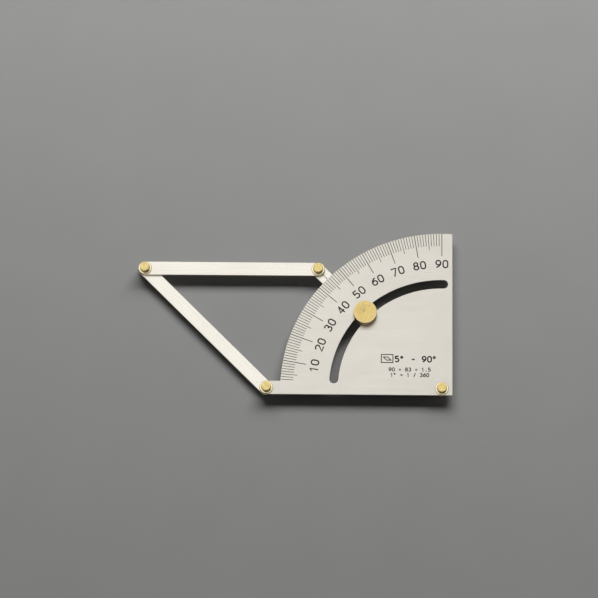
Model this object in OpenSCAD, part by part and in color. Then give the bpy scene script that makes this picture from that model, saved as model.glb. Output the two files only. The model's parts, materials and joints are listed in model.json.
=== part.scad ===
// Parallelogram corner protractor.
// Four sides of equal pitch turn on brass pivots: a quadrant plate, a swing arm below it, a side link
// and a top bar. The arm's centre line reads on the plate's degree scale, and a knurled knob on a
// stud clamps the arm through the plate's arc slot.
// Frame: +Z out of the graduated face and +X along the base edge. The origin is on the main pivot's
// axis, in the plane that the tool rests on.

/* [Linkage] */
// Distance between the pivots of every side
pivot_pitch = 90; // [89:0.5:94]
// Width of every side
bar_w = 7; // [6.8:0.1:7.6]
// Thickness of every side
bar_t = 1.5; // [1:0.1:2]
// Angle between the base and the arm, as modelled
opening = 44.6; // [5:0.1:90]

/* [Quadrant plate] */
// Radius of the graduated arc
arc_r = 82.9; // [80:0.1:84]
// Distance from the main pivot to the square edge
edge_margin = 5.5; // [4.5:0.1:7]
// Radius of the clamp slot's centre line
slot_r = 55.6; // [50:0.1:56]
// Width of the clamp slot
slot_w = 4.5; // [4.2:0.05:4.6]
// Scale angle at the centre of the slot's lower end
slot_from = 4.8; // [4:0.1:5]
// Scale angle at the centre of the slot's upper end
slot_to = 91; // [90:0.1:91]

/* [Scale] */
// Lowest degree that has a line
first_degree = 3; // [3:1:5]
// Width of a one-degree or five-degree line
tick_w = 0.28; // [0.15:0.01:0.3]
// Width of a ten-degree line
major_w = 0.36; // [0.2:0.01:0.4]
// Length of a one-degree line
minor_len = 6.6; // [5:0.1:7.5]
// Length of a five-degree line
mid_len = 8.5; // [8:0.1:10]
// Length of a ten-degree line
major_len = 12.1; // [11:0.1:13]
// Radius at the middle of the numerals
numeral_r = 66.5; // [65:0.1:67]
// Height of the numerals
numeral_h = 4.5; // [3.5:0.1:4.6]
// Thickness of the ink film
ink_t = 0.03; // [0.02:0.01:0.05]

/* [Pivot pins] */
// Radius of the shank
shank_r = 1.5; // [1.2:0.1:1.8]
// Radius of the flange on the graduated side
flange_r = 3.45; // [2.8:0.05:3.45]
// Height of the flange
flange_h = 0.8; // [0.5:0.1:1.2]
// Radius of the boss on the flange
boss_r = 2.4; // [1.8:0.1:2.6]
// Height of the boss
boss_h = 2.8; // [1:0.1:3]
// Radius of the riveted tail
tail_r = 2.2; // [2:0.1:2.6]
// Height of the riveted tail
tail_h = 1; // [0.8:0.1:1.4]
// Thickness of the washer under the tail
washer_t = 0.5; // [0.4:0.1:0.8]
// Thickness of the shim between the two layers
shim_t = 0.3; // [0.2:0.05:0.5]

/* [Clamp] */
// Radius of the knob over its knurling
knob_r = 6.05; // [5.5:0.05:6.5]
// Height of the knob
knob_h = 5.3; // [5:0.1:6.5]
// Number of knurled teeth
knurl_teeth = 44; // [32:2:56]
// Radius of the stud
stud_r = 2; // [1.8:0.05:2]
// Radius of the washer under the knob
clamp_washer_r = 4.8; // [4.2:0.1:5.2]

/* [Hidden] */

$fn = 96;
through = 1; // how far a cutting shape runs past the face it cuts

// Clearances
axial_play = 0.04; // between layers that turn on each other
fixed_gap = 0.02; // radial, round a pin that is swaged in
running_gap = 0.05; // radial, round a pin that turns
open_pivot_gap = 0.1; // radial, at the pivot that closes the parallelogram
washer_gap = 0.1; // radial, round the stud inside its washer

// Levels, counted up from the plane that the tool rests on
lower_z = tail_h + washer_t + axial_play;
lower_top = lower_z + bar_t;
shim_z = lower_top + axial_play;
upper_z = shim_z + shim_t;
face_z = upper_z + bar_t;

// Scale angles run clockwise from the base's direction, seen from the graduated side
function polar(r, a) = [-r * cos(a), r * sin(a)];

main_pivot = [0, 0];
base_pivot = [-pivot_pitch, 0];
arm_pivot = polar(pivot_pitch, opening);
tip_pivot = base_pivot + arm_pivot;
stud_at = polar(slot_r, opening);

// Clamp
clamp_washer_t = 0.5;
clamp_washer_z = face_z + axial_play / 2;
knob_z = clamp_washer_z + clamp_washer_t + axial_play / 2;
knob_edge = 0.15;
knurl_depth = 0.28;
stud_head_r = 3.2;
stud_head_h = 1.2;
stud_grip = 3.9; // length of stud inside the knob
stud_end_room = 0.6; // between the stud's end and the bottom of the knob's hole

// Chamfers on the turned parts
edge = 0.2;
boss_edge = 0.25;
lead_in = 0.4; // on the tails and on the stud's end

// The degree lines stop this far inside the rim
rim_gap = 0.1;

// Index line on the arm, from under the plate's rim to just short of the flange
index_from_r = arc_r - 3;
index_to_r = pivot_pitch - flange_r - 0.3;

// ---- Plain shapes ----

module at(point, z = 0) {
    translate([point[0], point[1], z]) children();
}

// A bar with round ends, from the origin along +X, centred on its pivots
module bar_outline(length) {
    translate([0, -bar_w / 2]) square([length, bar_w]);
    circle(d = bar_w);
    translate([length, 0]) circle(d = bar_w);
}

module bar(length, near_hole_r, far_hole_r) {
    difference() {
        linear_extrude(bar_t) bar_outline(length);
        at([0, 0], -through) cylinder(r = near_hole_r, h = bar_t + 2 * through);
        at([length, 0], -through) cylinder(r = far_hole_r, h = bar_t + 2 * through);
    }
}

module ring(outer_r, inner_r, h) {
    difference() {
        cylinder(r = outer_r, h = h);
        translate([0, 0, -through]) cylinder(r = inner_r, h = h + 2 * through);
    }
}

// ---- Sides of the parallelogram ----

// The graduated quadrant and the tongue that carries the base pivot
module plate_outline() {
    intersection() {
        circle(r = arc_r, $fn = 360);
        translate([-arc_r, -bar_w / 2]) square([arc_r + edge_margin, arc_r + bar_w / 2]);
    }
    translate([-pivot_pitch, -bar_w / 2]) square([pivot_pitch, bar_w]);
    at(base_pivot) circle(d = bar_w);
}

// A solid that fills the slot, for cutting it
module slot_cutter(h) {
    rotate([0, 0, 180 - slot_to])
        rotate_extrude(angle = slot_to - slot_from)
            translate([slot_r - slot_w / 2, 0]) square([slot_w, h]);
    for (end = [slot_from, slot_to])
        at(polar(slot_r, end)) cylinder(d = slot_w, h = h);
}

module quadrant_plate() {
    color("gainsboro")
        at(main_pivot, upper_z)
            difference() {
                linear_extrude(bar_t) plate_outline();
                at(main_pivot, -through) cylinder(r = shank_r + fixed_gap, h = bar_t + 2 * through);
                at(base_pivot, -through) cylinder(r = shank_r + fixed_gap, h = bar_t + 2 * through);
                translate([0, 0, -through]) slot_cutter(bar_t + 2 * through);
            }
}

module swing_arm() {
    color("silver")
        at(main_pivot, lower_z)
            rotate([0, 0, 180 - opening])
                difference() {
                    bar(pivot_pitch, shank_r + running_gap, shank_r + running_gap);
                    at([slot_r, 0], -through)
                        cylinder(r = stud_r + fixed_gap, h = bar_t + 2 * through);
                }
}

module side_link() {
    color("silver")
        at(base_pivot, lower_z)
            rotate([0, 0, 180 - opening])
                bar(pivot_pitch, shank_r + running_gap, shank_r + open_pivot_gap);
}

module top_bar() {
    color("silver")
        at(tip_pivot, upper_z)
            bar(pivot_pitch, shank_r + fixed_gap, shank_r + fixed_gap);
}

// ---- Scale ----

function tick_len(degree) =
    degree % 10 == 0 ? major_len : degree % 5 == 0 ? mid_len : minor_len;

function tick_width(degree) = degree % 10 == 0 ? major_w : tick_w;

module scale_ticks() {
    color("dimgray")
        for (degree = [first_degree:90])
            rotate([0, 0, 180 - degree])
                translate([arc_r - tick_len(degree), -tick_width(degree) / 2, face_z])
                    cube([tick_len(degree) - rim_gap, tick_width(degree), ink_t]);
}

module index_line() {
    color("dimgray")
        rotate([0, 0, 180 - opening])
            translate([index_from_r, -tick_w / 2, lower_top])
                cube([index_to_r - index_from_r, tick_w, ink_t]);
}

// ---- Characters, drawn as strokes of even width ----

glyph_aspect = 0.63; // width of a character's centre line over its height
stroke_share = 0.18; // stroke width over the height of the centre line
advance_share = 0.96; // step from one character to the next, over that height
mitre_limit = 1.4;

function unit(v) = v / norm(v);
function left_of(v) = [-v[1], v[0]];
function oval(c, rx, ry, from, to, steps = 14) = [
    for (i = [0:steps])
        let (a = from + (to - from) * i / steps) c + [rx * cos(a), ry * sin(a)]
];

// Offset of a path's point i to its left, mitred between the two stretches that meet there
function side_step(path, i, half) =
    let (
        last = len(path) - 1,
        before = unit(path[max(i, 1)] - path[max(i, 1) - 1]),
        after = unit(path[min(i, last - 1) + 1] - path[min(i, last - 1)]),
        middle = unit(left_of(before) + left_of(after))
    )
    middle * half * min(1 / (middle * left_of(before)), mitre_limit);

module stroke(path, half) {
    polygon(concat(
        [for (i = [0:len(path) - 1]) path[i] + side_step(path, i, half)],
        [for (i = [len(path) - 1:-1:0]) path[i] - side_step(path, i, half)]
    ));
}

module loop(c, rx, ry, half) {
    difference() {
        polygon(oval(c, rx + half, ry + half, 0, 345, 23));
        polygon(oval(c, rx - half, ry - half, 0, 345, 23));
    }
}

// A loop with straight sides
module tall_loop(w, h, half) {
    module body(grow)
        polygon(concat(
            oval([w / 2, h - w / 2], w / 2 + grow, w / 2 + grow, 0, 180, 12),
            oval([w / 2, w / 2], w / 2 + grow, w / 2 + grow, 180, 360, 12)
        ));
    difference() {
        body(half);
        body(-half);
    }
}

module six(w, h, half) {
    loop([w / 2, h * 0.31], w / 2, h * 0.31, half);
    stroke(oval([w * 1.35, h * 0.33], w * 1.35, h * 0.67, 180, 108, 8), half);
}

// One character in a box w wide and h high, measured on its strokes' centre lines. A star stands
// for the degree sign and an x for the multiplication sign; a space draws nothing.
module glyph(c, h, share) {
    w = h * glyph_aspect;
    half = h * share / 2;
    if (c == "0") tall_loop(w, h, half);
    if (c == "1") stroke([[w * 0.1, h * 0.76], [w * 0.55, h], [w * 0.55, -half]], half);
    if (c == "2")
        stroke(concat(
            oval([w / 2, h * 0.72], w / 2, h * 0.28, 165, -30),
            [[0, 0], [w + half, 0]]
        ), half);
    if (c == "3") {
        stroke(oval([w * 0.46, h * 0.765], w * 0.44, h * 0.235, 150, -90), half);
        stroke(oval([w * 0.46, h * 0.265], w * 0.54, h * 0.265, 90, -150), half);
    }
    if (c == "4") {
        stroke([[w * 0.72, -half], [w * 0.72, h + half]], half);
        stroke([[w * 0.72, h], [0, h * 0.28], [w * 1.08, h * 0.28]], half);
    }
    if (c == "5") {
        stroke([[w * 0.95, h], [w * 0.14, h], [w * 0.05, h * 0.5]], half);
        stroke(oval([w * 0.46, h * 0.31], w * 0.54, h * 0.31, 128, -150), half);
    }
    if (c == "6") six(w, h, half);
    if (c == "7") stroke([[-half, h], [w, h], [w * 0.25, -half]], half);
    if (c == "8") {
        loop([w / 2, h * 0.765], w * 0.42, h * 0.235, half);
        loop([w / 2, h * 0.265], w / 2, h * 0.265, half);
    }
    if (c == "9") translate([w, h]) rotate(180) six(w, h, half);
    if (c == "-") stroke([[w * 0.1, h * 0.45], [w * 0.9, h * 0.45]], half);
    if (c == "=")
        for (share = [0.34, 0.62]) stroke([[0, h * share], [w, h * share]], half * 0.8);
    if (c == "/") stroke([[w * 0.1, -half], [w * 0.9, h + half]], half);
    if (c == "x")
        for (side = [-1, 1])
            stroke([
                [w * (0.5 - 0.4 * side), h * 0.2],
                [w * (0.5 + 0.4 * side), h * 0.7]
            ], half * 0.8);
    if (c == ".") translate([w / 2 - half, -half]) square(2.4 * half);
    if (c == "*") loop([w * 0.3, h * 0.82], h * 0.16, h * 0.16, half * 0.9);
}

// A row of characters, centred on the origin
module row(characters, h, share = stroke_share) {
    step = h * advance_share;
    for (i = [0:len(characters) - 1])
        translate([(i - (len(characters) - 1) / 2) * step - h * glyph_aspect / 2, -h / 2])
            glyph(characters[i], h, share);
}

module scale_numerals() {
    centre_line_h = numeral_h / (1 + stroke_share);
    color("dimgray")
        for (degree = [10:10:90])
            at(polar(numeral_r, degree), face_z)
                rotate([0, 0, 90 - degree])
                    linear_extrude(ink_t) row(str(degree), centre_line_h);
}

// ---- Generic mark: a framed sketch of the linkage and three rows of numbers ----
// The rows give the range, the sizes in mm and the value of one division.

mark_frame = [6.4, 4.7];
mark_line = 0.45;
mark_share = 0.24; // stroke width over height in the three rows
mark_at = [-28.1, 15.7];
range_at = [-13.3, 15.5];
range_h = 2.9;
sizes_at = [-16.5, 10];
division_at = [-16.5, 7.1];
small_h = 1.75;

// A quarter-turned square pushed over to 45 degrees: the linkage half closed
module rhombus(side) {
    lean = side * sqrt(1 / 2);
    translate([(lean - side) / 2, -lean / 2])
        polygon([[0, 0], [side, 0], [side - lean, lean], [-lean, lean]]);
}

module frame_sketch() {
    rhombus_side = 2.9;
    difference() {
        square(mark_frame, center = true);
        square(mark_frame - 2 * [mark_line, mark_line], center = true);
    }
    difference() {
        rhombus(rhombus_side);
        rhombus(rhombus_side - 2 * mark_line * sqrt(2));
    }
}

module range_mark() {
    color("dimgray") {
        at(mark_at, face_z) linear_extrude(ink_t) frame_sketch();
        at(range_at, face_z) linear_extrude(ink_t) row("5* - 90*", range_h, mark_share);
        at(sizes_at, face_z) linear_extrude(ink_t) row("90 x 83 x 1.5", small_h, mark_share);
        at(division_at, face_z) linear_extrude(ink_t) row("1* = 1 / 360", small_h, mark_share);
    }
}

// ---- Pivots ----

// One turned pin, riveted over its washer: tail, shank, flange and boss
module pivot_pin(point) {
    flange_top = face_z + flange_h;
    boss_top = flange_top + boss_h;
    color("goldenrod")
        at(point)
            rotate_extrude()
                polygon([
                    [0, 0],
                    [tail_r - lead_in, 0],
                    [tail_r, lead_in],
                    [tail_r, tail_h],
                    [shank_r, tail_h],
                    [shank_r, face_z],
                    [flange_r, face_z],
                    [flange_r, flange_top - edge],
                    [flange_r - edge, flange_top],
                    [boss_r, flange_top],
                    [boss_r, boss_top - boss_edge],
                    [boss_r - boss_edge, boss_top],
                    [0, boss_top]
                ]);
}

module pivot_washer(point) {
    color("darkgoldenrod") at(point, tail_h) ring(flange_r, shank_r + fixed_gap, washer_t);
}

module pivot_shim(point) {
    color("tan") at(point, shim_z) ring(flange_r, shank_r + fixed_gap, shim_t);
}

// ---- Clamp ----

// Pressed into the arm from below
module clamp_stud() {
    top = knob_z + stud_grip;
    color("darkgray")
        at(stud_at)
            rotate_extrude()
                polygon([
                    [0, lower_z - stud_head_h],
                    [stud_head_r - edge, lower_z - stud_head_h],
                    [stud_head_r, lower_z - stud_head_h + edge],
                    [stud_head_r, lower_z],
                    [stud_r, lower_z],
                    [stud_r, top - lead_in],
                    [stud_r - lead_in, top],
                    [0, top]
                ]);
}

module clamp_washer() {
    color("silver")
        at(stud_at, clamp_washer_z)
            ring(clamp_washer_r, stud_r + washer_gap, clamp_washer_t);
}

module knurled_outline() {
    polygon([
        for (i = [0:2 * knurl_teeth - 1])
            let (r = i % 2 == 0 ? knob_r : knob_r - knurl_depth, a = 180 * i / knurl_teeth)
                [r * cos(a), r * sin(a)]
    ]);
}

// Half of the knob's section, out to a radius past its teeth, with the chamfers carried on to it
module chamfered_profile(r, chamfer) {
    polygon([
        [0, 0],
        [r - chamfer, 0],
        [r, chamfer],
        [r, knob_h - chamfer],
        [r - chamfer, knob_h],
        [0, knob_h]
    ]);
}

module clamp_knob() {
    color("gold")
        at(stud_at, knob_z)
            difference() {
                intersection() {
                    linear_extrude(knob_h) knurled_outline();
                    rotate_extrude() chamfered_profile(knob_r + through, knob_edge + through);
                }
                translate([0, 0, -through])
                    cylinder(r = stud_r + running_gap, h = stud_grip + stud_end_room + through);
            }
}

quadrant_plate();
swing_arm();
side_link();
top_bar();
scale_ticks();
scale_numerals();
range_mark();
index_line();
pivot_pin(main_pivot);  // main_pivot_pin
pivot_pin(base_pivot);  // base_pivot_pin
pivot_pin(arm_pivot);  // arm_pivot_pin
pivot_pin(tip_pivot);  // tip_pivot_pin
pivot_washer(main_pivot);  // main_pivot_washer
pivot_washer(base_pivot);  // base_pivot_washer
pivot_washer(arm_pivot);  // arm_pivot_washer
pivot_washer(tip_pivot);  // tip_pivot_washer
pivot_shim(main_pivot);  // main_pivot_shim
pivot_shim(base_pivot);  // base_pivot_shim
pivot_shim(arm_pivot);  // arm_pivot_shim
pivot_shim(tip_pivot);  // tip_pivot_shim
clamp_stud();
clamp_washer();
clamp_knob();
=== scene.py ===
"""Looks of the parallelogram corner protractor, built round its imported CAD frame.

The steel plate and bars, the brass pivots and the knurled clamp are fine meshes that stand for their CAD
nodes. The filled degree lines, numerals and marks are the CAD nodes themselves with an ink material.
Everything is in metres, in the CAD's frame: +Z out of the graduated face, +X along the base edge.
"""

import json
import math

import bmesh
import bpy
from mathutils import Matrix, Quaternion, Vector


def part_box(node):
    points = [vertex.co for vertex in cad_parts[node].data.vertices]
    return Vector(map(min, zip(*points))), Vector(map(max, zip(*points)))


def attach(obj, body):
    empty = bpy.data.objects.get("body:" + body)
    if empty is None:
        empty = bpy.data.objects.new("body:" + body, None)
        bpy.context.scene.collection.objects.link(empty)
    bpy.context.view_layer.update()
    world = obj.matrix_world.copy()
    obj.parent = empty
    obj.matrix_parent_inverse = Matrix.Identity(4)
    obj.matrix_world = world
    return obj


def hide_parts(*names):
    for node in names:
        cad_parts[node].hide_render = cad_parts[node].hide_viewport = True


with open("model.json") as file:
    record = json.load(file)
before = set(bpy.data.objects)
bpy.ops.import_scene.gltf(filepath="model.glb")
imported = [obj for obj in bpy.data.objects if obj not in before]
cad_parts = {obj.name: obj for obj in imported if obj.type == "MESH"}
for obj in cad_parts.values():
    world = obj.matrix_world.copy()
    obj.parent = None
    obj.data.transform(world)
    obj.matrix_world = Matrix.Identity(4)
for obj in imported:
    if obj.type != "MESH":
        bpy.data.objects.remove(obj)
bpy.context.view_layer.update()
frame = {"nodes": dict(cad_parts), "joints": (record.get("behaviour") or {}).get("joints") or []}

MM = 0.001

# ---- Places and levels, read from the frame ----


def half_width(node):
    """Half the size along X of a CAD node's box, which is the radius of a round node."""
    low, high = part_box(node)
    return (high.x - low.x) / 2


joint_at = {
    joint["name"]: Vector(joint["pos_m"]) for joint in frame["joints"] if "pos_m" in joint
}
MAIN = joint_at["arm_swing"].to_2d()
BASE = joint_at["side_link_swing"].to_2d()
ARM_END = joint_at["top_bar_swing"].to_2d()
TIP = BASE + ARM_END - MAIN
STUD = joint_at["knob_turn"].to_2d()

plate_low, plate_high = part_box("quadrant_plate")
bar_low, bar_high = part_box("top_bar")
link_low, link_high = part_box("side_link")
LOWER_Z, LOWER_TOP = link_low.z, link_high.z
UPPER_Z, FACE_Z = plate_low.z, plate_high.z
BAR_R = (bar_high.y - bar_low.y) / 2
ARC_R = plate_high.y
SLOT_R = (STUD - MAIN).length
FLANGE_R = half_width("main_pivot_pin")
WASHER_R = half_width("clamp_washer")

# ---- Sizes inside the CAD nodes that their boxes don't give ----

SLOT_W = 4.5 * MM
SLOT_FROM, SLOT_TO = math.radians(4.8), math.radians(91)
EDGE_R = 0.08 * MM  # on the cut edges of the plate and bars
FIXED_HOLE_R = 1.52 * MM
TURNING_HOLE_R = 1.55 * MM
OPEN_HOLE_R = 1.6 * MM  # in the link at the tip, the pivot that closes the parallelogram
STUD_HOLE_R = 2.02 * MM
SHANK_R = 1.5 * MM
TAIL_R, TAIL_H = 2.2 * MM, 1.0 * MM
FLANGE_H = 0.8 * MM
BOSS_R = 2.4 * MM
STUD_R = 2.0 * MM
WASHER_HOLE_R = 2.1 * MM
THREAD_PITCH = 0.7 * MM
THREAD_DEPTH = 0.38 * MM
KNOB_BORE_R = 2.05 * MM
KNOB_BORE_H = 4.5 * MM
KNOB_CHAMFER = 0.15 * MM
KNURL_TEETH = 44
KNURL_DEPTH = 0.28 * MM


# ---- Mesh helpers ----


def polar(radius, angle):
    """The point at a scale angle, which runs clockwise from the base's direction."""
    return Vector((-radius * math.cos(angle), radius * math.sin(angle)))


def arc(centre, radius, start, end, steps):
    """Points on an arc between two angles, both ends included."""
    angles = (start + (end - start) * i / steps for i in range(steps + 1))
    return [centre + radius * Vector((math.cos(a), math.sin(a))) for a in angles]


def hole(centre, radius, steps=64):
    """A circle, clockwise."""
    return list(reversed(arc(centre, radius, 0, 2 * math.pi, steps)[:-1]))


def inset(loop, distance):
    """A closed loop moved to its left by a distance, mitred at its corners."""
    moved = []
    for i, point in enumerate(loop):
        before = (point - loop[i - 1]).normalized()
        after = (loop[(i + 1) % len(loop)] - point).normalized()
        left = Vector((-before.y, before.x))
        middle = (left + Vector((-after.y, after.x))).normalized()
        moved.append(point + middle * (distance / middle.dot(left)))
    return moved


def add_piece(name, mesh, body, nodes, material, axis=None, sharp_deg=32):
    """Puts a mesh in the scene as a piece that rides on a body and stands for CAD nodes. A turned piece is
    made round Z and then stands on its own axis."""
    for polygon in mesh.polygons:
        polygon.use_smooth = True
    mesh.set_sharp_from_angle(angle=math.radians(sharp_deg))
    piece = bpy.data.objects.new(name, mesh)
    bpy.context.scene.collection.objects.link(piece)
    if axis is not None:
        piece.location = (*axis, 0)
    mesh.materials.append(material)
    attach(piece, body)
    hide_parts(*nodes)
    return piece


def finished_mesh(name, bm):
    bmesh.ops.recalc_face_normals(bm, faces=bm.faces)
    mesh = bpy.data.meshes.new(name)
    bm.to_mesh(mesh)
    bm.free()
    return mesh


def sheet_metal(name, outline, holes, z0, z1, bevel, steps=3):
    """A flat part cut from sheet with rounded-over edges. Its outline runs anticlockwise, holes clockwise."""
    bm = bmesh.new()
    rim = [(3 * bevel, 0)]  # keeps the shading of the rounding off the flat faces
    rim += [
        (bevel * (1 - math.sin(a)), bevel * (1 - math.cos(a)))
        for a in (math.pi / 2 * i / steps for i in range(steps + 1))
    ]
    levels = [(side, z0 + lift) for side, lift in rim]
    levels += [(side, z1 - lift) for side, lift in reversed(rim)]
    caps = {0: [], len(levels) - 1: []}
    for loop in [outline, *holes]:
        rings = [
            [bm.verts.new((*point, z)) for point in inset(loop, side)] for side, z in levels
        ]
        for lower, upper in zip(rings, rings[1:]):
            for i in range(len(loop)):
                j = (i + 1) % len(loop)
                bm.faces.new((lower[i], lower[j], upper[j], upper[i]))
        for level, edges in caps.items():
            ring = rings[level]
            edges += [bm.edges.get((ring[i - 1], ring[i])) for i in range(len(ring))]
    for edges in caps.values():
        bmesh.ops.triangle_fill(bm, use_beauty=True, use_dissolve=False, edges=edges)
    return finished_mesh(name, bm)


def rounded(corners, steps=5):
    """A profile of (radius, z, fillet) corners as (radius, z) points, each fillet a true arc. A point just
    past each end of a fillet keeps its shading off the straight parts."""
    just_past = 1.25  # of the fillet's reach from its corner
    points = []
    for i, (r, z, fillet) in enumerate(corners):
        here = Vector((r, z))
        if fillet == 0:
            points.append(here)
            continue
        back = (Vector(corners[i - 1][:2]) - here).normalized()
        on = (Vector(corners[(i + 1) % len(corners)][:2]) - here).normalized()
        half = back.angle(on) / 2
        reach = fillet / math.tan(half)
        middle = here + (back + on).normalized() * (fillet / math.sin(half))
        first, last = here + back * reach - middle, here + on * reach - middle
        sweep = first.angle_signed(last)
        points.append(here + back * reach * just_past)
        points += [middle + Matrix.Rotation(-sweep * k / steps, 2) @ first for k in range(steps + 1)]
        points.append(here + on * reach * just_past)
    return points


def lathe(name, profile, segments=96, shape=None):
    """Turns a profile round Z. A point on the axis closes that end; a profile off the axis joins up with
    itself. shape(radius, z, angle) may change the radius, for a knurl or a thread."""
    on_axis = 1e-9
    bm = bmesh.new()
    rings = []
    for r, z in profile:
        if r < on_axis:
            rings.append([bm.verts.new((0, 0, z))])
            continue
        ring = []
        for k in range(segments):
            angle = 2 * math.pi * k / segments
            radius = shape(r, z, angle) if shape else r
            ring.append(bm.verts.new((radius * math.cos(angle), radius * math.sin(angle), z)))
        rings.append(ring)
    pairs = list(zip(rings, rings[1:]))
    if len(rings[0]) > 1:
        pairs.append((rings[-1], rings[0]))
    for lower, upper in pairs:
        for k in range(segments):
            j = (k + 1) % segments
            below = (lower[k % len(lower)], lower[j % len(lower)])
            above = (upper[j % len(upper)], upper[k % len(upper)])
            bm.faces.new(dict.fromkeys(below + above))
    return finished_mesh(name, bm)


# ---- Materials ----


class Nodes:
    """Short forms for building one material's node tree."""

    def __init__(self, name):
        self.material = bpy.data.materials.new(name)
        self.material.use_nodes = True
        self.tree = self.material.node_tree
        self.tree.nodes.clear()
        self.shader = self.add("BsdfPrincipled")
        output = self.add("OutputMaterial")
        self.link(self.shader.outputs["BSDF"], output.inputs["Surface"])

    def add(self, kind, **settings):
        node = self.tree.nodes.new("ShaderNode" + kind)
        for key, value in settings.items():
            setattr(node, key, value)
        return node

    def link(self, source, target):
        self.tree.links.new(source, target)

    def place(self, size, turn=0.0):
        """The piece's own coordinates over the size of a feature in metres, its X turned about Z."""
        where = self.add("TexCoord")
        mapping = self.add("Mapping", vector_type="TEXTURE")
        mapping.inputs["Rotation"].default_value = (0, 0, turn)
        mapping.inputs["Scale"].default_value = size
        self.link(where.outputs["Object"], mapping.inputs["Vector"])
        return mapping.outputs["Vector"]

    def part_of(self, output, axis):
        """One axis of the piece's own coordinates ("Object") or of its surface's direction ("Normal")."""
        split = self.add("SeparateXYZ")
        self.link(self.add("TexCoord").outputs[output], split.inputs[0])
        return split.outputs[axis]

    def distance(self, centre=(0, 0)):
        """How far a point is from an upright axis through the centre."""
        where = self.add("TexCoord")
        offset = self.add("VectorMath", operation="SUBTRACT")
        offset.inputs[1].default_value = (*centre, 0)
        self.link(where.outputs["Object"], offset.inputs[0])
        flat = self.add("VectorMath", operation="MULTIPLY")
        flat.inputs[1].default_value = (1, 1, 0)
        self.link(offset.outputs["Vector"], flat.inputs[0])
        length = self.add("VectorMath", operation="LENGTH")
        self.link(flat.outputs["Vector"], length.inputs[0])
        return length.outputs["Value"]

    def sides(self):
        """1 on upright faces and 0 on level ones."""
        steepness = self.math("ABSOLUTE", self.part_of("Normal", "Z"), 0)
        return self.spread(steepness, 1, 0, 0.35, 0.65)

    def rings(self, distance, size, detail=3.0):
        """A noise along one number, over the size of a feature."""
        node = self.add("TexNoise", noise_dimensions="1D")
        node.inputs["Scale"].default_value = 1 / size
        node.inputs["Detail"].default_value = detail
        self.link(distance, node.inputs["W"])
        return node.outputs["Fac"]

    def noise(self, vector, detail=3.0):
        node = self.add("TexNoise")
        node.inputs["Scale"].default_value = 1.0
        node.inputs["Detail"].default_value = detail
        self.link(vector, node.inputs["Vector"])
        return node.outputs["Fac"]

    def spread(self, value, low, high, floor=0.3, ceiling=0.7):
        """Maps floor..ceiling, by default a noise's usual range, to low..high and holds it there."""
        node = self.add("MapRange")
        node.inputs["From Min"].default_value = floor
        node.inputs["From Max"].default_value = ceiling
        node.inputs["To Min"].default_value = low
        node.inputs["To Max"].default_value = high
        self.link(value, node.inputs["Value"])
        return node.outputs["Result"]

    def math(self, operation, a, b):
        node = self.add("Math", operation=operation)
        for socket, value in zip(node.inputs, (a, b)):
            if isinstance(value, (int, float)):
                socket.default_value = value
            else:
                self.link(value, socket)
        return node.outputs["Value"]

    def times(self, a, b):
        return self.math("MULTIPLY", a, b)

    def plus(self, a, b):
        return self.math("ADD", a, b)

    def between(self, value, rise, fall):
        """0, then 1 from the end of one (from, to) pair to the start of the other, then 0 again."""
        return self.times(self.spread(value, 0, 1, *rise), self.spread(value, 1, 0, *fall))

    def blend(self, factor, a, b):
        """Colour a where the factor is 0 and b where it is 1."""
        node = self.add("Mix", data_type="RGBA")
        self.link(factor, node.inputs["Factor"])
        for socket, colour in (("A", a), ("B", b)):
            if isinstance(colour, tuple):
                node.inputs[socket].default_value = (*colour, 1)
            else:
                self.link(colour, node.inputs[socket])
        return node.outputs["Result"]

    def bump(self, height, depth):
        """Adds relief of that depth in metres."""
        node = self.add("Bump")
        node.inputs["Strength"].default_value = 1.0
        node.inputs["Distance"].default_value = depth
        self.link(height, node.inputs["Height"])
        self.link(node.outputs["Normal"], self.shader.inputs["Normal"])


def scaled(colour, factor):
    return tuple(channel * factor for channel in colour)


def brushed_steel(name, light, dark, rough, grain, turn=0.0, rubbed=None):
    """Satin steel with its grain along X turned about Z, hairline scratches across it and plainer cut
    edges. It may be rubbed bright in a band round a centre: (centre, inner radius, outer radius)."""
    n = Nodes(name)
    fine = n.noise(n.place((11 * MM, 0.11 * MM, 0.11 * MM), turn), detail=2)
    streak = n.noise(n.place((60 * MM, 0.8 * MM, 0.8 * MM), turn), detail=3)
    patch = n.noise(n.place((16 * MM, 11 * MM, 16 * MM), turn), detail=2)
    scratch = 0.0
    for scratch_turn in (0.5, -0.8, 1.9):
        hairs = n.noise(n.place((14 * MM, 0.07 * MM, 5 * MM), turn + scratch_turn), detail=1)
        scratch = n.math("MAXIMUM", scratch, n.spread(hairs, 0, 1, 0.70, 0.76))
    mixed = n.plus(n.times(fine, 0.5), n.times(streak, 0.5))
    tone = n.plus(n.times(streak, 0.5), n.times(patch, 0.5))
    bright = n.spread(tone, 0, 1, 0.35, 0.65)
    relief = n.math("SUBTRACT", mixed, n.times(scratch, 0.8))
    if rubbed:
        centre, inner, outer = rubbed
        fade = 0.15 * (outer - inner)
        away = n.distance(centre)
        band = n.between(away, (inner, inner + fade), (outer - fade, outer))
        arcs = n.times(band, n.rings(away, 0.35 * MM))
        bright = n.math("SUBTRACT", n.plus(bright, n.times(band, 0.45)), arcs)
        relief = n.plus(relief, n.times(arcs, 0.8))
    colour = n.blend(bright, dark, light)
    colour = n.blend(n.times(scratch, 0.35), colour, scaled(dark, 0.62))
    cut = n.sides()
    colour = n.blend(n.times(cut, 0.8), colour, scaled(dark, 0.86))
    n.link(colour, n.shader.inputs["Base Color"])
    roughness = n.plus(n.spread(mixed, rough - 0.06, rough + 0.06), n.times(cut, 0.10))
    n.link(roughness, n.shader.inputs["Roughness"])
    n.shader.inputs["Metallic"].default_value = 1.0
    n.shader.inputs["Anisotropic"].default_value = 0.35
    n.bump(relief, grain)
    return n.material


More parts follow.
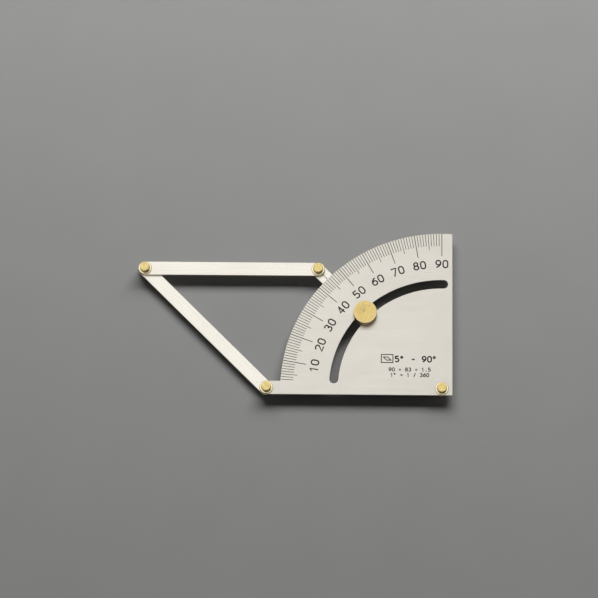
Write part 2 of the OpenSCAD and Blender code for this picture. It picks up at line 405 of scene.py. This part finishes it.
def turned_metal(name, light, dark, rough, groove, colours_and_painted_light=None):
    """Metal turned on a lathe: rings round the piece's own Z axis, and slight tarnish that differs from
    piece to piece. colours_and_painted_light(nodes, colour, distance from the axis, height) may change the
    colour and may lay on painted highlights and shade."""
    n = Nodes(name)
    away, up = n.distance(), n.part_of("Object", "Z")
    ring = n.rings(n.plus(away, up), 0.14 * MM)
    tarnish = n.add("TexNoise", noise_dimensions="4D")
    tarnish.inputs["Scale"].default_value = 1.0
    tarnish.inputs["Detail"].default_value = 4
    n.link(n.place((1.3 * MM, 1.3 * MM, 1.3 * MM)), tarnish.inputs["Vector"])
    n.link(n.times(n.add("ObjectInfo").outputs["Random"], 20), tarnish.inputs["W"])
    tone = n.plus(n.times(ring, 0.35), n.times(tarnish.outputs["Fac"], 0.65))
    colour = n.blend(n.spread(tone, 0, 1, 0.38, 0.62), dark, light)
    if colours_and_painted_light:
        colour = colours_and_painted_light(n, colour, away, up)
    n.link(colour, n.shader.inputs["Base Color"])
    n.link(n.spread(ring, rough - 0.07, rough + 0.07), n.shader.inputs["Roughness"])
    n.shader.inputs["Metallic"].default_value = 1.0
    n.bump(ring, groove)
    return n.material


# Painted shade: a dark brown laid where shade falls, round the foot of each pivot's boss and at the roots of
# the knurl.
PAINTED_SHADE_BROWN = (0.12, 0.08, 0.03)
POLISHED_BRASS = (0.97, 0.88, 0.60)
# Painted highlight: a pale brass laid on the knob's top rim.
PAINTED_HIGHLIGHT_BRASS = (0.78, 0.67, 0.45)


def pin_flange_and_painted_shade(n, colour, away, up):
    """A polished flange, and painted shade in the corner at the foot of the boss."""
    flange = n.between(
        away, (BOSS_R, BOSS_R + 0.1 * MM), (FLANGE_R - 0.35 * MM, FLANGE_R - 0.15 * MM)
    )
    colour = n.blend(flange, colour, POLISHED_BRASS)
    foot = FACE_Z + FLANGE_H
    low = n.between(up, (foot - 0.15 * MM, foot), (foot + 0.6 * MM, foot + 2.2 * MM))
    close = n.between(away, (0.93 * BOSS_R, 0.98 * BOSS_R), (BOSS_R, BOSS_R + 0.5 * MM))
    # painted shade: the side of the boss and the flange at its foot darkened, where they stand in shade
    return n.blend(n.times(n.times(low, close), 0.75), colour, PAINTED_SHADE_BROWN)


def knob_painted_highlight_and_shade(n, colour, away, up):
    """A pale band on the top rim as a painted highlight, and painted shade at the roots of the knurl."""
    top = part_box("clamp_knob")[1].z
    knob_r = half_width("clamp_knob")
    root_r = knob_r - KNURL_DEPTH
    on_top = n.spread(up, 0, 1, top - 0.25 * MM, top - 0.1 * MM)
    rim = n.times(on_top, n.spread(away, 0, 1, root_r - 0.3 * MM, root_r - 0.1 * MM))
    # painted highlight: the top rim made paler
    colour = n.blend(n.times(rim, 0.6), colour, PAINTED_HIGHLIGHT_BRASS)
    below = n.spread(up, 1, 0, top - 0.3 * MM, top - 0.2 * MM)
    deep = n.between(
        away, (root_r - 0.06 * MM, root_r - 0.02 * MM), (root_r + 0.02 * MM, knob_r - 0.04 * MM)
    )
    # painted shade: the roots of the knurl darkened
    return n.blend(n.times(n.times(below, deep), 0.8), colour, PAINTED_SHADE_BROWN)


def ink(name, colour):
    """Matt paint that fills an engraving, a little uneven."""
    n = Nodes(name)
    grain = n.noise(n.place((0.25 * MM, 0.25 * MM, 0.25 * MM)), detail=2)
    lighter = tuple(c * 2.2 + 0.01 for c in colour)
    n.link(n.blend(n.spread(grain, 0, 1), colour, lighter), n.shader.inputs["Base Color"])
    n.link(n.spread(grain, 0.6, 0.85), n.shader.inputs["Roughness"])
    n.shader.inputs["Specular IOR Level"].default_value = 0.12
    n.bump(grain, 0.004 * MM)
    return n.material


def backdrop(name, colour):
    n = Nodes(name)
    grain = n.noise(n.place((40 * MM, 40 * MM, 40 * MM)), detail=2)
    n.link(n.blend(n.spread(grain, 0, 1), scaled(colour, 0.97), colour), n.shader.inputs["Base Color"])
    n.shader.inputs["Roughness"].default_value = 0.8
    n.shader.inputs["Specular IOR Level"].default_value = 0.2
    return n.material


# The plate and the bars are the same steel; the plate's colours are painted darker than the bars', painted
# shade for how each looks under these lights.
BAR_LOOK = {
    "light": (0.89, 0.845, 0.755),
    "dark": (0.845, 0.80, 0.715),
    "rough": 0.29,
    "grain": 0.0011 * MM,
}
PLATE_STEEL = brushed_steel(
    "plate_steel_satin",
    light=(0.775, 0.735, 0.66),
    dark=(0.74, 0.70, 0.63),
    rough=0.33,
    grain=0.0014 * MM,
    rubbed=(MAIN, SLOT_R - WASHER_R, SLOT_R + WASHER_R),
)
LEVEL_BAR_STEEL = brushed_steel("bar_steel_level", **BAR_LOOK, rubbed=(ARM_END, 3.5 * MM, 9 * MM))
RAISED_BAR_STEEL = brushed_steel(
    "bar_steel_raised", **BAR_LOOK, turn=math.atan2(ARM_END.y - MAIN.y, ARM_END.x - MAIN.x)
)
STUD_STEEL = turned_metal(
    "stud_steel_turned",
    light=(0.72, 0.72, 0.71),
    dark=(0.60, 0.60, 0.60),
    rough=0.30,
    groove=0.003 * MM,
)
WASHER_STEEL = turned_metal(
    "washer_steel_turned",
    light=(0.78, 0.77, 0.75),
    dark=(0.68, 0.67, 0.66),
    rough=0.30,
    groove=0.003 * MM,
)
PIVOT_BRASS = turned_metal(
    "pivot_brass_turned",
    light=(0.81, 0.665, 0.305),
    dark=(0.61, 0.455, 0.165),
    rough=0.20,
    groove=0.0012 * MM,
    colours_and_painted_light=pin_flange_and_painted_shade,
)
WASHER_BRASS = turned_metal(
    "washer_brass_turned",
    light=(0.80, 0.63, 0.32),
    dark=(0.70, 0.53, 0.25),
    rough=0.33,
    groove=0.003 * MM,
)
KNOB_BRASS = turned_metal(
    "knob_brass_turned",
    light=(0.755, 0.585, 0.23),
    dark=(0.64, 0.48, 0.18),
    rough=0.26,
    groove=0.0012 * MM,
    colours_and_painted_light=knob_painted_highlight_and_shade,
)
SCALE_INK = ink("scale_ink_matt", (0.010, 0.009, 0.008))


# ---- Steel parts ----


def plate_outline():
    """The quadrant and the tongue to the base pivot, anticlockwise."""
    base_y, right_x = plate_low.y, plate_high.x
    tongue_meets = math.asin(BAR_R / ARC_R)
    arc_ends = math.pi / 2 + math.asin(right_x / ARC_R)
    steps = 180
    rim = [
        polar(ARC_R, arc_ends + (tongue_meets - arc_ends) * i / steps) for i in range(steps + 1)
    ]
    tongue_end = arc(Vector((BASE.x, 0)), BAR_R, math.pi / 2, 1.5 * math.pi, 32)
    return [Vector((right_x, base_y)), *rim, *tongue_end]


def slot_outline():
    """The clamp slot, clockwise."""
    half = SLOT_W / 2
    steps, end_steps = 72, 20
    sweep = [SLOT_FROM + (SLOT_TO - SLOT_FROM) * i / steps for i in range(steps + 1)]
    outer = [polar(SLOT_R + half, a) for a in sweep]
    inner = [polar(SLOT_R - half, a) for a in reversed(sweep)]
    far_end = arc(polar(SLOT_R, SLOT_TO), half, math.pi - SLOT_TO, -SLOT_TO, end_steps)
    near_end = arc(polar(SLOT_R, SLOT_FROM), half, -SLOT_FROM, -math.pi - SLOT_FROM, end_steps)
    return [*outer, *far_end[1:-1], *inner, *near_end[1:-1]]


def make_plate():
    holes = [slot_outline(), hole(MAIN, FIXED_HOLE_R), hole(BASE, FIXED_HOLE_R)]
    mesh = sheet_metal("plate", plate_outline(), holes, UPPER_Z, FACE_Z, EDGE_R)
    add_piece("plate_fine", mesh, "quadrant", ["quadrant_plate"], PLATE_STEEL)


def make_bar(node, body, start, end, z0, z1, holes, material):
    """A round-ended bar from one pivot to another, with holes at distances from the first."""
    along = (end - start).normalized()
    turn = math.atan2(along.y, along.x)
    outline = arc(end, BAR_R, turn - math.pi / 2, turn + math.pi / 2, 32)
    outline += arc(start, BAR_R, turn + math.pi / 2, turn + 1.5 * math.pi, 32)
    cuts = [hole(start + along * distance, radius) for distance, radius in holes]
    mesh = sheet_metal(node + "_bar", outline, cuts, z0, z1, EDGE_R)
    add_piece(node + "_fine", mesh, body, [node], material)


def make_bars():
    pitch = (BASE - MAIN).length
    make_bar(
        "swing_arm", "swing_arm", MAIN, ARM_END, LOWER_Z, LOWER_TOP,
        [(0, TURNING_HOLE_R), (SLOT_R, STUD_HOLE_R), (pitch, TURNING_HOLE_R)], RAISED_BAR_STEEL,
    )
    make_bar(
        "side_link", "side_link", BASE, TIP, LOWER_Z, LOWER_TOP,
        [(0, TURNING_HOLE_R), (pitch, OPEN_HOLE_R)], RAISED_BAR_STEEL,
    )
    make_bar(
        "top_bar", "top_bar", TIP, ARM_END, UPPER_Z, FACE_Z,
        [(0, FIXED_HOLE_R), (pitch, FIXED_HOLE_R)], LEVEL_BAR_STEEL,
    )


# ---- Pivots ----


def make_pin(node, body, centre):
    """A turned brass pin: riveted tail, shank, flange and boss."""
    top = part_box(node)[1].z
    flange_r = half_width(node)
    flange_top = FACE_Z + FLANGE_H
    profile = rounded([
        (0, 0, 0),
        (TAIL_R - 0.15 * MM, 0, 0.25 * MM),
        (TAIL_R, TAIL_H * 0.55, 0.25 * MM),
        (TAIL_R, TAIL_H, 0.05 * MM),
        (SHANK_R, TAIL_H, 0),
        (SHANK_R, FACE_Z, 0),
        (flange_r, FACE_Z, 0.05 * MM),
        (flange_r, flange_top, 0.25 * MM),
        (BOSS_R, flange_top, 0.08 * MM),
        (BOSS_R, top, 0.18 * MM),
        (0, top, 0),
    ])
    mesh = lathe(node + "_turned", profile)
    add_piece(node + "_fine", mesh, body, [node], PIVOT_BRASS, centre)


def make_ring(node, body, centre, inner_r, material):
    """A flat washer with its edges rounded over."""
    low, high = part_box(node)
    outer_r = half_width(node)
    edge = min(0.12 * MM, (high.z - low.z) * 0.35)
    profile = rounded([
        (inner_r, low.z, edge / 2),
        (outer_r, low.z, edge),
        (outer_r, high.z, edge),
        (inner_r, high.z, edge / 2),
    ], steps=3)
    mesh = lathe(node + "_ring", profile)
    add_piece(node + "_fine", mesh, body, [node], material, centre)


def make_pivots():
    pivots = [
        ("main", "quadrant", MAIN),
        ("base", "quadrant", BASE),
        ("arm", "top_bar", ARM_END),
        ("tip", "top_bar", TIP),
    ]
    for which, body, centre in pivots:
        make_pin(f"{which}_pivot_pin", body, centre)
        for ring in ("washer", "shim"):
            make_ring(
                f"{which}_pivot_{ring}", body, centre, FIXED_HOLE_R, WASHER_BRASS
            )


# ---- Clamp ----


def make_stud():
    """The threaded stud, pressed into the arm from below."""
    low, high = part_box("clamp_stud")
    head_r = half_width("clamp_stud")
    lead_in = 0.4 * MM
    thread_from = FACE_Z - 0.4 * MM
    rings_in_pitch = 10
    flank = 1.25  # leaves a fifth of the pitch flat at the root
    step = THREAD_PITCH / rings_in_pitch
    count = int((high.z - lead_in - thread_from) / step)
    head = rounded([
        (0, low.z, 0),
        (head_r, low.z, 0.25 * MM),
        (head_r, LOWER_Z, 0.06 * MM),
        (STUD_R, LOWER_Z, 0),
    ])
    shank = [Vector((STUD_R, LOWER_Z + 0.2 * MM)), Vector((STUD_R, thread_from - step))]
    thread = [Vector((STUD_R, thread_from + step * i)) for i in range(count + 1)]
    tip = [Vector((STUD_R - lead_in, high.z)), Vector((0, high.z))]

    def cut(r, z, angle):
        """A V thread that runs out where it starts."""
        if z < thread_from or r < STUD_R:
            return r
        phase = (z / THREAD_PITCH - angle / (2 * math.pi)) % 1
        run_out = min(1, (z - thread_from) / THREAD_PITCH)
        return r - THREAD_DEPTH * run_out * min(1, flank * (1 - abs(2 * phase - 1)))

    mesh = lathe("stud_thread", [*head, *shank, *thread, *tip], 64, cut)
    add_piece(
        "clamp_stud_fine", mesh, "swing_arm", ["clamp_stud"], STUD_STEEL, STUD, 50
    )


def make_knob():
    """The brass knob: straight knurl with both rims chamfered, a turned top and a blind bore."""
    low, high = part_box("clamp_knob")
    knob_r = half_width("clamp_knob")
    bore_top = low.z + KNOB_BORE_H
    lip_r = knob_r - KNOB_CHAMFER
    steps_in_tooth = 8
    rim_steps = 8
    root_width = 1.4  # over 1 widens the crests and narrows the roots

    def tooth(r, z, angle):
        """Rounded teeth, cut back by the chamfers at both rims."""
        if r < knob_r:
            return r
        phase = (angle * KNURL_TEETH / (2 * math.pi)) % 1
        crest = knob_r - KNURL_DEPTH * abs(math.sin(math.pi * phase)) ** root_width
        return min(crest, lip_r + min(z - low.z, high.z - z))

    ramp = [KNOB_CHAMFER * i / rim_steps for i in range(1, rim_steps + 1)]
    profile = [
        Vector((0, bore_top)),
        Vector((KNOB_BORE_R * 0.9, bore_top)),
        Vector((KNOB_BORE_R, bore_top - 0.2 * MM)),
        Vector((KNOB_BORE_R, low.z + 0.25 * MM)),
        Vector((KNOB_BORE_R + 0.25 * MM, low.z)),
        Vector((lip_r, low.z)),
        *(Vector((knob_r, low.z + up)) for up in ramp),
        *(Vector((knob_r, high.z - up)) for up in reversed(ramp)),
        Vector((lip_r, high.z)),
        Vector((lip_r - 0.15 * MM, high.z)),
        # the small dimple that turning leaves at the centre
        Vector((0.30 * MM, high.z)),
        Vector((0.22 * MM, high.z - 0.02 * MM)),
        Vector((0, high.z - 0.06 * MM)),
    ]
    mesh = lathe("knob_knurled", profile, KNURL_TEETH * steps_in_tooth, tooth)
    add_piece("clamp_knob_fine", mesh, "clamp_knob", ["clamp_knob"], KNOB_BRASS, STUD)


def make_clamp():
    make_stud()
    make_ring("clamp_washer", "clamp_washer", STUD, WASHER_HOLE_R, WASHER_STEEL)
    make_knob()


# ---- Filled marks, kept from the CAD ----


def ink_marks():
    for node in ("scale_ticks", "scale_numerals", "range_mark", "index_line"):
        marks = frame["nodes"][node]
        marks.data.materials.clear()
        marks.data.materials.append(SCALE_INK)


# ---- Floor, light and camera ----


def make_floor():
    half = 2.0
    mesh = bpy.data.meshes.new("floor")
    mesh.from_pydata(
        [(-half, -half, 0), (half, -half, 0), (half, half, 0), (-half, half, 0)], [], [(0, 1, 2, 3)]
    )
    floor = bpy.data.objects.new("floor", mesh)
    bpy.context.scene.collection.objects.link(floor)
    mesh.materials.append(backdrop("floor_pale", (0.31, 0.31, 0.304)))


def area_light(name, offset, size, power, lights):
    """A softbox that faces the middle of the tool from an offset. It lights either the matt surfaces
    ("floor") or what the metal mirrors ("metal"), which keeps the metal from burning out and the shadows
    deep."""
    middle = Vector((-0.07, 0.04, 0))
    data = bpy.data.lights.new(name, "AREA")
    data.shape = "RECTANGLE"
    data.size, data.size_y = size
    data.energy = power
    light = bpy.data.objects.new(name, data)
    light.location = middle + Vector(offset)
    light.rotation_euler = (-Vector(offset)).to_track_quat("-Z", "Y").to_euler()
    light.visible_glossy = lights == "metal"
    light.visible_diffuse = lights == "floor"
    bpy.context.scene.collection.objects.link(light)


def make_lights():
    """A key from behind the tool with a dimmer panel in its place for the metal to mirror, a softbox
    overhead that the level faces mirror in the main view, a weak fill for the shadows, and a panel in
    front that the level faces mirror when they are seen from behind."""
    behind = (0.10, 1.0, 0.78)
    area_light("key_softbox", behind, size=(1.6, 0.45), power=26, lights="floor")
    area_light("key_panel", behind, size=(1.6, 0.8), power=4, lights="metal")
    area_light("overhead_softbox", (-0.13, 0.27, 1.05), size=(0.94, 0.74), power=2.36, lights="metal")
    area_light("fill", (-0.3, -0.7, 1.1), size=(1.2, 1.2), power=0.5, lights="floor")
    area_light("front_panel", (0, -0.65, 1.0), size=(1.4, 0.75), power=1.5, lights="metal")


def make_world():
    """A room that only the metal mirrors: pale along the horizon and dark overhead, and darker in front
    than behind."""
    world = bpy.data.worlds.new("studio")
    world.use_nodes = True
    tree = world.node_tree

    def scale(source, from_min, from_max, to_min, to_max):
        node = tree.nodes.new("ShaderNodeMapRange")
        node.interpolation_type = "SMOOTHSTEP"
        values = {"From Min": from_min, "From Max": from_max, "To Min": to_min, "To Max": to_max}
        for key, value in values.items():
            node.inputs[key].default_value = value
        tree.links.new(source, node.inputs["Value"])
        return node.outputs["Result"]

    direction = tree.nodes.new("ShaderNodeTexCoord")
    split = tree.nodes.new("ShaderNodeSeparateXYZ")
    tree.links.new(direction.outputs["Generated"], split.inputs[0])
    front, back, horizon, overhead = 0.02, 0.10, 0.65, 0
    total = tree.nodes.new("ShaderNodeMath")
    tree.links.new(scale(split.outputs["Y"], -1, 1, front, back), total.inputs[0])
    tree.links.new(scale(split.outputs["Z"], 0, 1, horizon, overhead), total.inputs[1])
    background = tree.nodes["Background"]
    background.inputs["Color"].default_value = (0.95, 0.97, 1.0, 1)
    tree.links.new(total.outputs["Value"], background.inputs["Strength"])
    world.cycles_visibility.diffuse = False
    bpy.context.scene.world = world
    bpy.context.scene.view_settings.view_transform = "Standard"


def make_camera():
    """A long lens over the base edge, tilted a little off the plate's normal and turned a little."""
    aim = Vector((-73.85, 47.10, 4.88)) * MM
    tilt, turn, roll = math.radians(15.55), math.radians(5.0), math.radians(-4.37)
    distance = 1.40
    frame_width = 0.3094  # width of the view at the plate
    back = Vector((math.sin(turn) * math.sin(tilt), -math.cos(turn) * math.sin(tilt), math.cos(tilt)))
    data = bpy.data.cameras.new("camera")
    data.sensor_width = 36
    data.lens = data.sensor_width * distance / frame_width
    data.clip_start, data.clip_end = 0.1, 10
    camera = bpy.data.objects.new("camera", data)
    camera.location = aim + back * distance
    camera.rotation_mode = "QUATERNION"
    camera.rotation_quaternion = (-back).to_track_quat("-Z", "Y") @ Quaternion((0, 0, 1), roll)
    bpy.context.scene.collection.objects.link(camera)
    bpy.context.scene.camera = camera


make_plate()
make_bars()
make_pivots()
make_clamp()
ink_marks()
make_floor()
make_lights()
make_world()
make_camera()
